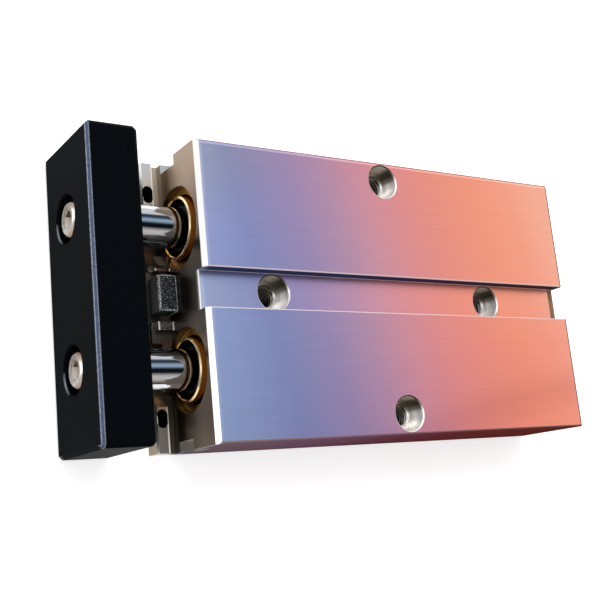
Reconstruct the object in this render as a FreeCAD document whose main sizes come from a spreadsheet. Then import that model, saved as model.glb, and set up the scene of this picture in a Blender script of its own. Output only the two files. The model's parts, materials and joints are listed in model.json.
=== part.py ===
"""Guided pneumatic cylinder: two parallel pistons in one block, joined by an end plate.

The cylinder lies on its back. +X is the way the rods come out, +Z is the normal of the grooved
face and +Y is the left-hand side seen from behind. The origin is on the bottom mounting face,
in the middle of the four mounting holes. The rods are shown drawn in.
"""
import FreeCAD, Part
import math
import os
import re

import Sketcher

SIZES = [
    # name, millimetres, what it is
    ("stroke", 40, "travel of the end plate"),
    ("bore", 15, "diameter of each piston bore"),
    ("rod", 8, "diameter of each piston rod"),
    ("seat_step", 0.75, "step from the bore out to the gland and cap seats"),
    ("floor_wall", 1.75, "wall between a gland seat and the top or bottom face"),
    ("middle_web", 11.5, "web between the two gland seats"),
    ("side_web", 1.15, "web between a bore and a side mounting thread"),
    ("edge_wall", 0.7, "wall between a side counterbore and the side face"),
    ("front_x", 44.5, "machined front face, from the centre of the mounting holes"),
    ("gland_depth", 26.4, "depth of the gland seats from the front face"),
    ("cap_depth", 12.5, "depth of the cap seats from the rear face"),
    ("long_bevel", 0.4, "bevel on the long edges"),
    ("front_bevel", 0.85, "bevel on the top edge of the front face"),
    ("rear_bevel", 0.5, "bevel round the rear face"),
    ("lip_reach", 4.5, "how far the lower lip stands in front of the front face"),
    ("lip_height", 4.5, "top of the lip above the bottom face"),
    ("lip_bevel", 0.35, "bevel on the front edges of the lip"),
    ("relief_width", 1.9, "width of the relief between the lip and the front face"),
    ("relief_depth", 1.8, "depth of that relief"),
    ("crest_height", 5.9, "top of the two crests beside the stop block"),
    ("crest_width", 1.7, "thickness of each crest"),
    ("crest_reach", 3.3, "how far the crests stand in front of the front face"),
    ("stop_length", 4, "reach of the stop block from the front face"),
    ("stop_width", 7.1, "width of the stop block"),
    ("stop_shift", 1.3, "middle of the stop block, to the right of the centre"),
    ("stop_top", 8.8, "top of the stop block above the bottom face"),
    ("stop_floor", 4.2, "floor of the stop block's pocket above the bottom face"),
    ("stop_side_gap", 1.5, "gap on each side of the stop block"),
    ("stop_bevel", 0.5, "bevel on the stop block's top edges"),
    ("notch_depth", 2, "depth of the notch in each narrow side"),
    ("notch_top", 10.6, "top of the notch above the bottom face"),
    ("notch_length", 3.5, "length of the notch behind the front face"),
    ("groove_margin", 0.3, "what the long groove leaves beside a counterbore"),
    ("groove_depth", 3, "depth of the long groove"),
    ("groove_bevel", 0.15, "bevel on the long edges of that groove"),
    ("runout_length", 2.2, "length of the sloping rear end of the groove floor"),
    ("runout_drop", 0.6, "drop of that slope"),
    ("hole_spacing_x", 56, "distance between the two holes in the groove"),
    ("head_bore", 7.1, "diameter of the counterbores"),
    ("head_bore_depth", 3.4, "depth of the counterbores"),
    ("mount_thread", 4.2, "minor diameter of the mounting threads"),
    ("mouth_bevel", 0.25, "bevel at the mouth of a counterbore"),
    ("thread_bevel", 0.35, "bevel where a mounting thread starts"),
    ("port_thread", 4.2, "minor diameter of the air ports"),
    ("port_inset", 2.2, "from the end of the chamber to the middle of an air port"),
    ("port_bevel", 0.5, "bevel at the mouth of an air port"),
    ("port_wall", 0.8, "wall between the end of a port's thread and the bore"),
    ("air_passage", 3, "diameter of the passages from the ports on to the two bores"),
    ("lip_slot", 2.2, "width of the two short slots in the lip"),
    ("lip_slot_length", 3.6, "length of these slots"),
    ("lip_slot_reach", 3.1, "from the front face to the middle of the slots"),
    ("lip_slot_inset", 6.6, "from the side face to the middle of the slots"),
    ("plate_gap", 12.5, "front face to the back of the end plate, rods drawn in"),
    ("plate_thickness", 10, "thickness of the end plate"),
    ("plate_foot", 0.2, "clearance under the end plate"),
    ("plate_rise", 2, "how far the end plate stands above the grooved face"),
    ("plate_bevel", 0.7, "bevel round the end plate"),
    ("rod_seat", 1.5, "depth of the rod seats in the end plate"),
    ("plate_head_bore", 9, "diameter of the plate's counterbores"),
    ("plate_head_recess", 0.8, "screw head below the plate's front face"),
    ("screw", 4, "diameter of the plate screws"),
    ("screw_length", 14, "length of the plate screws under the head"),
    ("screw_head", 7, "diameter of a plate screw's head"),
    ("screw_head_height", 4, "height of a plate screw's head"),
    ("screw_head_bevel", 0.35, "bevel on a plate screw's head"),
    ("hex_key", 3, "width across flats of a plate screw's socket"),
    ("hex_depth", 2.2, "depth of that socket"),
    ("screw_room", 0.5, "free space past the end of a plate screw"),
    ("hole_gap", 0.25, "radial gap between a screw and a clearance hole"),
    ("seat_gap", 0.05, "radial gap of pieces that are fixed in each other"),
    ("running_gap", 0.05, "radial gap of pieces that slide in each other"),
    ("rod_bevel", 0.4, "bevel on the ends of a rod"),
    ("spigot", 5, "diameter of the rod inside its piston"),
    ("spigot_over", 0.6, "how far the rod stands out of its nut"),
    ("nose_wall", 2.2, "from the rod out to the outside of the gland's nose"),
    ("nose_rim", 0.6, "wall of the gland's nose round the wiper"),
    ("nose_reach", 0.3, "how far the nose stands in front of the front face"),
    ("nose_bevel", 0.22, "bevel on the nose's rim"),
    ("wiper_seat", 3.2, "depth of the wiper's seat behind the front face"),
    ("wiper_length", 2.5, "length of the wiper"),
    ("wiper_slope", 0.8, "slope of the wiper's front towards the rod"),
    ("bushing_wall", 0.9, "wall of the rod bushing"),
    ("bushing_gap", 3.3, "from the wiper's seat to the front of the rod bushing"),
    ("bushing_stop", 5.9, "from the rear of the gland to the end of the bushing's seat"),
    ("seal_seat", 3.7, "depth of the seal's seat in the rear of the gland"),
    ("seal_wall", 2.3, "from the rod out to the seal's seat"),
    ("seal_length", 2.4, "length of the rod seal"),
    ("bumper_seat", 0.9, "how deep the front bumper sits in the gland"),
    ("bumper_proud", 1.9, "how far the front bumper stands out of the gland"),
    ("rod_room", 0.3, "radial gap where the rod passes without touching"),
    ("ring_thickness", 1, "thickness of the retaining rings"),
    ("ring_bite", 0.4, "how far a retaining ring goes into the body"),
    ("ring_gap", 0.1, "gap beside and outside a retaining ring in its groove"),
    ("ring_band", 1.9, "width of a retaining ring's band"),
    ("ring_opening", 50, "opening of a retaining ring, degrees"),
    ("ring_hole", 1, "diameter of the two plier holes in a retaining ring"),
    ("ring_hole_turn", 8, "from the opening's edge to a plier hole, degrees"),
    ("front_ring_depth", 1.4, "front face to the front retaining ring"),
    ("rear_ring_depth", 2, "rear face to the rear retaining ring"),
    ("o_ring", 1.3, "section of the O-rings"),
    ("o_ring_groove", 2, "width of the O-ring grooves"),
    ("gland_o_ring_depth", 13, "front face to the middle of the gland's O-ring"),
    ("cap_o_ring_depth", 7.5, "rear face to the middle of the cap's O-ring"),
    ("end_gap", 0.1, "gap between a piston and a bumper at the end of the travel"),
    ("piston_length", 12, "length of a piston"),
    ("piston_gap", 0.1, "radial gap between piston and bore"),
    ("land", 1.2, "land between the piston's grooves"),
    ("wear_ring_width", 2.4, "width of the wear ring's groove"),
    ("wear_ring_depth", 0.8, "depth of the wear ring's groove"),
    ("piston_seal_width", 2.2, "width of the piston seal's groove"),
    ("piston_seal_depth", 2, "depth of the piston seal's groove"),
    ("magnet_width", 2.6, "width of the magnet's groove"),
    ("magnet_depth", 2, "depth of the magnet's groove"),
    ("nut_width", 8, "width across flats of the piston nut"),
    ("nut_height", 2.7, "height of the piston nut"),
    ("rear_bumper_proud", 2, "how far the rear bumper stands out of the cap"),
    ("rear_bumper_seat", 1, "how deep the rear bumper sits in the cap"),
    ("rear_bumper_wall", 1.2, "wall of the rear bumper"),
    ("nut_room", 0.5, "free space round and behind the piston nut"),
    ("cap_bevel", 0.4, "bevel on the rear cap's outer edge"),
]

# Places that follow from the sizes above, as expressions of them.
SEAT = "(bore + 2 * seat_step)"
BODY_HEIGHT = f"({SEAT} + 2 * floor_wall)"
AXIS_HEIGHT = f"({BODY_HEIGHT} / 2)"
ROD_PITCH = f"({SEAT} + middle_web)"
HOLE_SPACING_Y = f"({ROD_PITCH} + bore + mount_thread + 2 * side_web)"
HALF_WIDTH = f"(({HOLE_SPACING_Y} + head_bore) / 2 + edge_wall)"
GLAND_REAR = "(front_x - gland_depth)"
PISTON_FRONT = f"({GLAND_REAR} - bumper_proud - end_gap - stroke)"
PISTON_REAR = f"({PISTON_FRONT} - piston_length)"
CAP_FRONT = f"({PISTON_REAR} - end_gap - rear_bumper_proud)"
REAR_X = f"({CAP_FRONT} - cap_depth)"
LIP_X = "(front_x + lip_reach)"
GROOVE_WIDTH = "(head_bore + 2 * groove_margin)"
GROOVE_FLOOR = f"({BODY_HEIGHT} - groove_depth)"
STOP_POCKET = "(stop_width + 2 * stop_side_gap)"
FRONT_PORT_X = f"({GLAND_REAR} - bumper_proud - port_inset)"
REAR_PORT_X = f"({CAP_FRONT} + port_inset)"
PLATE_BACK = "(front_x + plate_gap)"
PLATE_FRONT = f"({PLATE_BACK} + plate_thickness)"
HEAD_SEAT = f"({PLATE_FRONT} - plate_head_recess - screw_head_height)"
ROD_FRONT = f"({PLATE_BACK} + rod_seat)"
NOSE = "(rod / 2 + nose_wall)"
SEAL_CAVITY = "(rod / 2 + seal_wall)"
BUSHING = "(rod / 2 + running_gap + bushing_wall)"
NUT_ROOM = "(nut_width / 2 / cos(30) + nut_room)"
REAR_BUMPER = f"({NUT_ROOM} + rear_bumper_wall)"
BEYOND = "1"  # how far a cutting shape reaches past the face that it cuts

doc = FreeCAD.newDocument("guided_cylinder")
sizes = doc.addObject("Spreadsheet::Sheet", "Sizes")
for row, (size_name, size_value, meaning) in enumerate(SIZES, 1):
    sizes.set(f"A{row}", size_name)
    sizes.set(f"B{row}", str(size_value))
    sizes.set(f"C{row}", meaning)
    sizes.setAlias(f"B{row}", size_name)
doc.recompute()
SIZE_NAMES = {entry[0] for entry in SIZES}


def bound(expression):
    """The expression with each size written as the sheet's own cell."""
    return re.sub(r"[a-z_]+", lambda word: f"Sizes.{word[0]}" if word[0] in SIZE_NAMES else word[0],
                  expression)


def number(expression):
    """The value of an expression, for the first drawing of a sketch."""
    return float(sizes.evalExpression(bound(expression)))


def new_body(name, at_bore=None):
    """A PartDesign body; at_bore is +1 or -1 for a piece that lies on the left or right bore's axis."""
    body = doc.addObject("PartDesign::Body", name)
    body.Label = name
    if at_bore:
        body.setExpression("Placement.Base.y", bound(f"{at_bore} * {ROD_PITCH} / 2"))
        body.setExpression("Placement.Base.z", bound(AXIS_HEIGHT))
    return body


def origin_feature(body, role):
    return next(feature for feature in body.Origin.OriginFeatures if feature.Role == role)


def new_sketch(body, name, plane, across="0", up="0", off="0"):
    """A sketch on one of the body's planes, its own origin moved across, up and off that plane."""
    sketch = body.newObject("Sketcher::SketchObject", name)
    sketch.AttachmentSupport = [(origin_feature(body, plane), "")]
    sketch.MapMode = "FlatFace"
    for direction, expression in (("x", across), ("y", up), ("z", off)):
        if expression != "0":
            sketch.setExpression(f"AttachmentOffset.Base.{direction}", bound(expression))
    return sketch


def pin_point(sketch, geometry, vertex, point):
    """Hold a point at two expressions, measured from the sketch's origin."""
    for kind, expression in zip(("DistanceX", "DistanceY"), point):
        constraint = Sketcher.Constraint(kind, -1, 1, geometry, vertex, number(expression))
        index = sketch.addConstraint(constraint)
        sketch.setExpression(f"Constraints[{index}]", bound(expression))


def outline(sketch, points):
    """A closed outline of straight lines through the points."""
    first = sketch.GeometryCount
    count = len(points)
    corners = [FreeCAD.Vector(number(x), number(y), 0) for x, y in points]
    for index in range(count):
        sketch.addGeometry(Part.LineSegment(corners[index], corners[(index + 1) % count]), False)
    for index in range(count):
        following = first + (index + 1) % count
        sketch.addConstraint(Sketcher.Constraint("Coincident", first + index, 2, following, 1))
    for index, point in enumerate(points):
        pin_point(sketch, first + index, 1, point)


def rectangle(sketch, low, high):
    (left, bottom), (right, top) = low, high
    outline(sketch, [(left, bottom), (right, bottom), (right, top), (left, top)])


def circle(sketch, centre, radius):
    start = FreeCAD.Vector(number(centre[0]), number(centre[1]), 0)
    index = sketch.addGeometry(Part.Circle(start, FreeCAD.Vector(0, 0, 1), number(radius)), False)
    pin_point(sketch, index, 3, centre)
    constraint = sketch.addConstraint(Sketcher.Constraint("Radius", index, number(radius)))
    sketch.setExpression(f"Constraints[{constraint}]", bound(radius))


def slot(sketch, centre, width, length):
    """A slot with round ends that lies along the sketch's vertical."""
    (across, up), radius, half = centre, f"{width} / 2", f"({length} - {width}) / 2"
    first = sketch.GeometryCount
    for end, turn in ((1, 0), (-1, 180)):
        middle = FreeCAD.Vector(number(across), number(f"{up} + {end} * {half}"), 0)
        round_end = Part.Circle(middle, FreeCAD.Vector(0, 0, 1), number(radius))
        arc = Part.ArcOfCircle(round_end, math.radians(turn), math.radians(turn + 180))
        pin_point(sketch, sketch.addGeometry(arc, False), 3, (across, f"{up} + {end} * {half}"))
    for start, finish, end in ((2, 1, -1), (1, 2, 1)):
        side = f"{across} + {end} * {radius}"
        ends = [FreeCAD.Vector(number(side), number(f"{up} + {way} * {half}"), 0) for way in (1, -1)]
        line = sketch.addGeometry(Part.LineSegment(*ends), False)
        sketch.addConstraint(Sketcher.Constraint("Tangent", first, start, line, 1))
        sketch.addConstraint(Sketcher.Constraint("Tangent", first + 1, finish, line, 2))
    constraint = sketch.addConstraint(Sketcher.Constraint("Radius", first, number(radius)))
    sketch.setExpression(f"Constraints[{constraint}]", bound(radius))


def extrude(body, kind, name, sketch, length=None, against=False, both_ways=False):
    """A Pad or a Pocket of a sketch; with no length it goes through everything."""
    feature = body.newObject(f"PartDesign::{kind}", name)
    feature.Profile = sketch
    feature.Reversed = against
    if both_ways:
        feature.SideType = "Symmetric"
    if length is None:
        feature.Type = "ThroughAll"
    else:
        feature.setExpression("Length", bound(length))
    return feature


def revolve(body, kind, name, sketch, axis):
    """A Revolution or a Groove of a sketch about one of its own axes."""
    feature = body.newObject(f"PartDesign::{kind}", name)
    feature.Profile = sketch
    feature.ReferenceAxis = (sketch, [axis])
    feature.Angle = 360
    return feature


def mirrored(body, name, feature, plane):
    """The same feature again on the other side of one of the body's planes."""
    mirror = body.newObject("PartDesign::Mirrored", name)
    mirror.Originals = [feature]
    mirror.MirrorPlane = (origin_feature(body, plane), [""])
    body.Tip = mirror
    return mirror


def bevel(body, name, size, chosen):
    """A bevel on the edges of the body so far that chosen() picks."""
    doc.recompute()
    base = body.Tip
    edges = [f"Edge{index}" for index, edge in enumerate(base.Shape.Edges, 1) if chosen(edge)]
    feature = body.newObject("PartDesign::Chamfer", name)
    feature.Base = (base, edges)
    feature.setExpression("Size", bound(size))
    return feature


def turned(name, points, side):
    """A round piece on a bore's axis: points are (X, radius) round its half section."""
    body = new_body(name, side)
    sketch = new_sketch(body, f"{name}_section", "XY_Plane")
    outline(sketch, points)
    revolve(body, "Revolution", f"{name}_turned", sketch, "H_Axis")
    return body


def tube_section(start, end, inner, outer):
    return [(start, inner), (end, inner), (end, outer), (start, outer)]


# ---------------------------------------------------------------- the body block

def make_block(body):
    """The bar that the body is milled from, with its long edges bevelled."""
    section = new_sketch(body, "bar_section", "YZ_Plane", off=REAR_X)
    low_edge, high_edge = "long_bevel", f"{BODY_HEIGHT} - long_bevel"
    outline(section, [
        (f"-{HALF_WIDTH} + long_bevel", "0"), (f"{HALF_WIDTH} - long_bevel", "0"),
        (HALF_WIDTH, low_edge), (HALF_WIDTH, high_edge),
        (f"{HALF_WIDTH} - long_bevel", BODY_HEIGHT), (f"-{HALF_WIDTH} + long_bevel", BODY_HEIGHT),
        (f"-{HALF_WIDTH}", high_edge), (f"-{HALF_WIDTH}", low_edge),
    ])
    extrude(body, "Pad", "bar", section, length=f"{LIP_X} - {REAR_X}")


def make_front(body):
    """The front face is milled back and leaves a low lip, with two crests in its middle."""
    above = f"{BODY_HEIGHT} + {BEYOND}"
    web = f"({STOP_POCKET} / 2 + crest_width)"
    for side, name in ((1, "left"), (-1, "right")):
        sketch = new_sketch(body, f"front_cut_{name}_plan", "YZ_Plane", off=f"{LIP_X} + {BEYOND}")
        near, far = f"{side} * {web} - stop_shift", f"{side} * ({HALF_WIDTH} + {BEYOND})"
        rectangle(sketch, (near, "lip_height"), (far, above))
        extrude(body, "Pocket", f"front_cut_{name}", sketch, length=f"lip_reach + {BEYOND}")
    middle = new_sketch(body, "front_cut_middle_plan", "YZ_Plane", off=f"{LIP_X} + {BEYOND}")
    outer_right, outer_left = f"-{web} - stop_shift - {BEYOND}", f"{web} - stop_shift + {BEYOND}"
    rectangle(middle, (outer_right, "crest_height"), (outer_left, above))
    extrude(body, "Pocket", "front_cut_middle", middle, length=f"lip_reach + {BEYOND}")
    ends = new_sketch(body, "crest_ends_plan", "YZ_Plane", off=f"{LIP_X} + {BEYOND}")
    rectangle(ends, (outer_right, "lip_height"), (outer_left, f"crest_height + {BEYOND}"))
    extrude(body, "Pocket", "crest_ends", ends, length=f"lip_reach - crest_reach + {BEYOND}")

    pocket = new_sketch(body, "stop_pocket_plan", "YZ_Plane", off=f"{LIP_X} + {BEYOND}")
    rectangle(pocket, (f"-{STOP_POCKET} / 2 - stop_shift", "stop_floor"),
              (f"{STOP_POCKET} / 2 - stop_shift", above))
    extrude(body, "Pocket", "stop_pocket", pocket, length=f"lip_reach + {BEYOND}")

    relief = new_sketch(body, "lip_relief_plan", "XZ_Plane", off=f"-{HALF_WIDTH} - {BEYOND}")
    rectangle(relief, ("front_x", "lip_height - relief_depth"),
              ("front_x + relief_width", f"lip_height + {BEYOND}"))
    cut = extrude(body, "Pocket", "lip_relief", relief,
                  length=f"{HALF_WIDTH} + {BEYOND} - {ROD_PITCH} / 2", against=True)
    mirrored(body, "lip_relief_right", cut, "XZ_Plane")

    notch = new_sketch(body, "side_notch_plan", "YZ_Plane", off=f"front_x + {BEYOND}")
    rectangle(notch, (f"{HALF_WIDTH} - notch_depth", "lip_height"),
              (f"{HALF_WIDTH} + {BEYOND}", "notch_top"))
    cut = extrude(body, "Pocket", "side_notch", notch, length=f"notch_length + {BEYOND}")
    mirrored(body, "side_notch_right", cut, "XZ_Plane")


def make_groove(body):
    """The long groove between the bores, with a sloping floor at its rear end."""
    groove = new_sketch(body, "groove_section", "YZ_Plane")
    wall, shoulder = f"{GROOVE_WIDTH} / 2", f"{BODY_HEIGHT} - groove_bevel"
    flare, over = f"({GROOVE_WIDTH} / 2 + groove_bevel + {BEYOND})", f"{BODY_HEIGHT} + {BEYOND}"
    outline(groove, [
        (f"-{wall}", GROOVE_FLOOR), (wall, GROOVE_FLOOR), (wall, shoulder), (flare, over),
        (f"-{flare}", over), (f"-{wall}", shoulder),
    ])
    extrude(body, "Pocket", "groove", groove, both_ways=True)
    slope = new_sketch(body, "groove_runout_section", "XZ_Plane")
    slope_start = f"{REAR_X} + runout_length"
    outline(slope, [
        (slope_start, GROOVE_FLOOR), (f"{REAR_X} - {BEYOND}", GROOVE_FLOOR),
        (f"{REAR_X} - {BEYOND}", f"{GROOVE_FLOOR} - runout_drop"),
        (REAR_X, f"{GROOVE_FLOOR} - runout_drop"),
    ])
    extrude(body, "Pocket", "groove_runout", slope, length=GROOVE_WIDTH, both_ways=True)


def make_bores(body):
    """Two stepped bores: a gland seat in front, the piston bore, a cap seat behind, ring grooves."""
    ring_groove = f"{SEAT} / 2 + ring_bite + ring_gap"
    front_ring = "front_x - front_ring_depth"
    rear_ring = f"{REAR_X} + rear_ring_depth"
    steps = [
        # name, radius, from, to
        ("piston_bores", "bore / 2", f"{REAR_X} - {BEYOND}", f"{LIP_X} + {BEYOND}"),
        ("gland_seats", f"{SEAT} / 2", GLAND_REAR, f"{LIP_X} + {BEYOND}"),
        ("cap_seats", f"{SEAT} / 2", f"{REAR_X} - {BEYOND}", CAP_FRONT),
        ("front_ring_grooves", ring_groove,
         f"{front_ring} - ring_thickness - ring_gap", f"{front_ring} + ring_gap"),
        ("rear_ring_grooves", ring_groove,
         f"{rear_ring} - ring_gap", f"{rear_ring} + ring_thickness + ring_gap"),
    ]
    for name, radius, start, end in steps:
        sketch = new_sketch(body, f"{name}_circles", "YZ_Plane", off=end)
        for side in (1, -1):
            circle(sketch, (f"{side} * {ROD_PITCH} / 2", AXIS_HEIGHT), radius)
        extrude(body, "Pocket", name, sketch, length=f"({end}) - ({start})")


def mounting_hole(body, name, plane, across, top, mirror_plane):
    """A counterbored, threaded hole turned about its own axis, and its twin on the other side."""
    sketch = new_sketch(body, f"{name}_section", plane, across=across)
    seat = f"{top} - head_bore_depth"
    outline(sketch, [
        ("0", f"-{BEYOND}"), ("mount_thread / 2", f"-{BEYOND}"),
        ("mount_thread / 2", f"{seat} - thread_bevel"), ("mount_thread / 2 + thread_bevel", seat),
        ("head_bore / 2", seat),
        ("head_bore / 2", f"{top} - mouth_bevel"),
        ("head_bore / 2 + mouth_bevel", top), ("head_bore / 2 + mouth_bevel", f"{top} + {BEYOND}"),
        ("0", f"{top} + {BEYOND}"),
    ])
    cut = revolve(body, "Groove", name, sketch, "V_Axis")
    mirrored(body, f"{name}_twin", cut, mirror_plane)


def make_ports(body):
    """Two air ports in the right-hand side, each with a passage on to the other bore."""
    for name, port_x in (("front", FRONT_PORT_X), ("rear", REAR_PORT_X)):
        port = new_sketch(body, f"{name}_port_section", "XY_Plane", across=port_x, off=AXIS_HEIGHT)
        mouth, thread_end = f"-{HALF_WIDTH}", f"-({ROD_PITCH} + bore) / 2 - port_wall"
        outline(port, [
            ("0", f"{mouth} - {BEYOND}"),
            (f"port_thread / 2 + port_bevel + {BEYOND}", f"{mouth} - {BEYOND}"),
            ("port_thread / 2", f"{mouth} + port_bevel"), ("port_thread / 2", thread_end),
            ("air_passage / 2", thread_end), ("air_passage / 2", f"{ROD_PITCH} / 2"),
            ("0", f"{ROD_PITCH} / 2"),
        ])
        revolve(body, "Groove", f"{name}_port", port, "V_Axis")


def make_body_edges(body):
    """Bevels that show: top of the front face, lip, rear face and the two short slots in the lip."""
    wide = f"2 * ({HALF_WIDTH} + {BEYOND})"
    over = f"{BODY_HEIGHT} + {BEYOND}"
    front = new_sketch(body, "front_bevel_section", "XZ_Plane")
    outline(front, [
        (f"front_x - front_bevel - {BEYOND}", over),
        (f"front_x + {BEYOND}", f"{BODY_HEIGHT} - front_bevel - {BEYOND}"), (f"front_x + {BEYOND}", over),
    ])
    extrude(body, "Pocket", "front_edge", front, length=wide, both_ways=True)
    front, floor = number("front_x"), number(GROOVE_FLOOR)

    def floor_edge(edge):
        ends = [vertex.Point for vertex in edge.Vertexes]
        return all(abs(point.x - front) < 1e-6 and abs(point.z - floor) < 1e-6 for point in ends)

    bevel(body, "groove_front_edge", "long_bevel", floor_edge)
    lip = new_sketch(body, "lip_bevel_section", "XZ_Plane")
    for edge, way in (("0", 1), ("lip_height", -1)):
        outline(lip, [
            (f"{LIP_X} - lip_bevel - {BEYOND}", f"{edge} - {way} * {BEYOND}"),
            (f"{LIP_X} + {BEYOND}", f"{edge} + {way} * (lip_bevel + {BEYOND})"),
            (f"{LIP_X} + {BEYOND}", f"{edge} - {way} * {BEYOND}"),
        ])
    extrude(body, "Pocket", "lip_edges", lip, length=wide, both_ways=True)
    rear = new_sketch(body, "rear_bevel_section", "XZ_Plane")
    for edge, way in (("0", 1), (BODY_HEIGHT, -1)):
        outline(rear, [
            (f"{REAR_X} + rear_bevel + {BEYOND}", f"{edge} - {way} * {BEYOND}"),
            (f"{REAR_X} - {BEYOND}", f"{edge} + {way} * (rear_bevel + {BEYOND})"),
            (f"{REAR_X} - {BEYOND}", f"{edge} - {way} * {BEYOND}"),
        ])
    extrude(body, "Pocket", "rear_edges", rear, length=wide, both_ways=True)
    slots = new_sketch(body, "lip_slots_plan", "XY_Plane", off=f"lip_height + {BEYOND}")
    for side in (1, -1):
        across = f"({side} * ({HALF_WIDTH} - lip_slot_inset))"
        slot(slots, ("front_x + lip_slot_reach", across), "lip_slot", "lip_slot_length")
    extrude(body, "Pocket", "lip_slots", slots, length=f"lip_height + 2 * {BEYOND}")


def make_body():
    body = new_body("body")
    make_block(body)
    make_front(body)
    make_groove(body)
    make_bores(body)
    mounting_hole(body, "groove_hole", "XZ_Plane", "hole_spacing_x / 2", GROOVE_FLOOR, "YZ_Plane")
    mounting_hole(body, "side_hole", "YZ_Plane", f"{HOLE_SPACING_Y} / 2", BODY_HEIGHT, "XZ_Plane")
    make_ports(body)
    make_body_edges(body)


def make_stop_block():
    """The block in the middle of the lip, between the crests."""
    body = new_body("stop_block")
    side = new_sketch(body, "stop_side", "XZ_Plane", off="stop_shift")
    top = "stop_top"
    reach = "front_x + stop_length"
    outline(side, [
        ("front_x", "stop_floor"), (reach, "stop_floor"), (reach, f"{top} - stop_bevel"),
        (f"{reach} - stop_bevel", top), (f"front_x + stop_bevel", top), ("front_x", f"{top} - stop_bevel"),
    ])
    extrude(body, "Pad", "stop_bar", side, length="stop_width", both_ways=True)
    half = number("stop_width / 2")
    middle = number("-stop_shift")
    upper = number("stop_floor") + 1

    def end_edge(edge):
        ends = [vertex.Point for vertex in edge.Vertexes]
        return all(abs(abs(point.y - middle) - half) < 1e-6 and point.z > upper for point in ends)

    bevel(body, "stop_end_edges", "stop_bevel / 2", end_edge)


# ---------------------------------------------------------------- the end plate and its screws

def make_end_plate():
    """The thick plate across both rods, bevelled all round, with two counterbores and rod seats."""
    plate = new_body("end_plate")
    face = new_sketch(plate, "plate_face", "YZ_Plane", off=PLATE_BACK)
    rectangle(face, (f"-{HALF_WIDTH}", "plate_foot"), (HALF_WIDTH, f"{BODY_HEIGHT} + plate_rise"))
    extrude(plate, "Pad", "plate_bar", face, length="plate_thickness")
    bevel(plate, "plate_edges", "plate_bevel", lambda edge: True)
    for side, name in ((1, "left"), (-1, "right")):
        section = new_sketch(plate, f"plate_hole_{name}_section", "XY_Plane",
                             up=f"{side} * {ROD_PITCH} / 2", off=AXIS_HEIGHT)
        seat, hole, head = "rod / 2 + seat_gap", "screw / 2 + hole_gap", "plate_head_bore / 2"
        mouth = "plate_bevel / 2"
        outline(section, [
            (f"{PLATE_BACK} - {BEYOND}", "0"), (f"{PLATE_BACK} - {BEYOND}", seat), (ROD_FRONT, seat),
            (ROD_FRONT, hole), (HEAD_SEAT, hole), (HEAD_SEAT, head), (f"{PLATE_FRONT} - {mouth}", head),
            (f"{PLATE_FRONT} + {BEYOND}", f"{head} + {mouth} + {BEYOND}"),
            (f"{PLATE_FRONT} + {BEYOND}", "0"),
        ])
        revolve(plate, "Groove", f"plate_hole_{name}", section, "H_Axis")


def make_plate_screw(name, side):
    """A socket head cap screw through the end plate into the end of a rod."""
    crown = f"{HEAD_SEAT} + screw_head_height"
    screw = turned(name, [
        (f"{HEAD_SEAT} - screw_length", "0"), (crown, "0"), (crown, "screw_head / 2 - screw_head_bevel"),
        (f"{crown} - screw_head_bevel", "screw_head / 2"), (HEAD_SEAT, "screw_head / 2"),
        (HEAD_SEAT, "screw / 2"), (f"{HEAD_SEAT} - screw_length + screw_head_bevel", "screw / 2"),
        (f"{HEAD_SEAT} - screw_length", "screw / 2 - screw_head_bevel"),
    ], side)
    socket = new_sketch(screw, f"{name}_socket_plan", "YZ_Plane", off=f"{crown} + {BEYOND}")
    hexagon(socket, "hex_key")
    extrude(screw, "Pocket", f"{name}_socket", socket, length=f"hex_depth + {BEYOND}")
    return screw


def hexagon(sketch, across_flats):
    """A regular hexagon round the sketch's origin, two flats level."""
    outline(sketch, [
        (f"{across_flats} / 2 / cos(30) * cos({angle})", f"{across_flats} / 2 / cos(30) * sin({angle})")
        for angle in range(0, 360, 60)
    ])


def make_plate_screws():
    pair = [make_plate_screw("plate_screw_left", 1), make_plate_screw("plate_screw_right", -1)]
    group = doc.addObject("Part::Compound", "plate_screws")
    group.Label = "plate_screws"
    group.Links = pair


# ---------------------------------------------------------------- what lies on each bore's axis

def make_rod(side, hand):
    """A ground rod: threaded hole in front for the plate screw, spigot behind for piston and nut."""
    tip = f"{PISTON_REAR} - nut_height - spigot_over"
    hole = "screw / 2 + seat_gap"
    hole_end = f"{HEAD_SEAT} - screw_length - screw_room"
    turned(f"rod_{hand}", [
        (tip, "0"), (tip, "spigot / 2 - rod_bevel"), (f"{tip} + rod_bevel", "spigot / 2"),
        (PISTON_FRONT, "spigot / 2"), (PISTON_FRONT, "rod / 2 - rod_bevel"),
        (f"{PISTON_FRONT} + rod_bevel", "rod / 2"), (f"{ROD_FRONT} - rod_bevel", "rod / 2"),
        (ROD_FRONT, "rod / 2 - rod_bevel"), (ROD_FRONT, hole), (hole_end, hole), (hole_end, "0"),
    ], side)


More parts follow.
